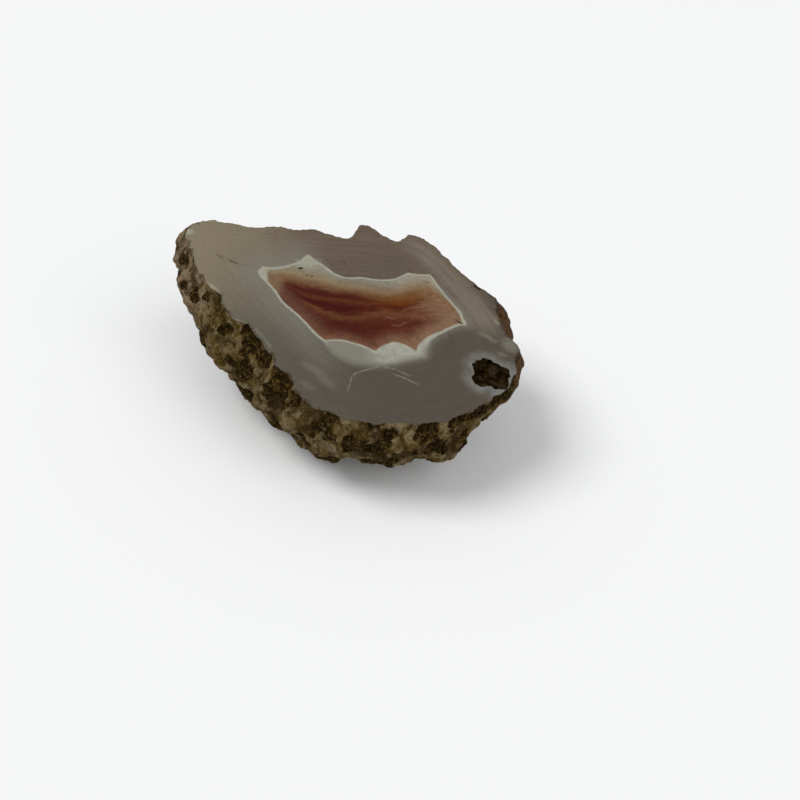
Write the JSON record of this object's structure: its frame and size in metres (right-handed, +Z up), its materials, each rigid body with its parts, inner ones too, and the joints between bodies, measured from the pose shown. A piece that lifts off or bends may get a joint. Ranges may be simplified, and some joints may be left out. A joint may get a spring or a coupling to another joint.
{
  "type": "agate geode half",
  "caption": "Half of a small agate nodule with a flat sawn face, a star-shaped banded core and a knobbly natural rind, lying on its rind.",
  "frame": {"origin": "middle of the small flat spot on the rind that the stone rests on", "axes": "+Z up; +X along the stone's longer side, to the right in the picture; the sawn face looks up and leans 14 degrees towards -Y, the viewer"},
  "size_m": [0.0584, 0.0487, 0.0267],
  "materials": {
    "agate": "satin sawn chalcedony with a rough weathered rind"
  },
  "bodies": {
    "root": {"geode_half": "agate"}
  },
  "joints": []
}
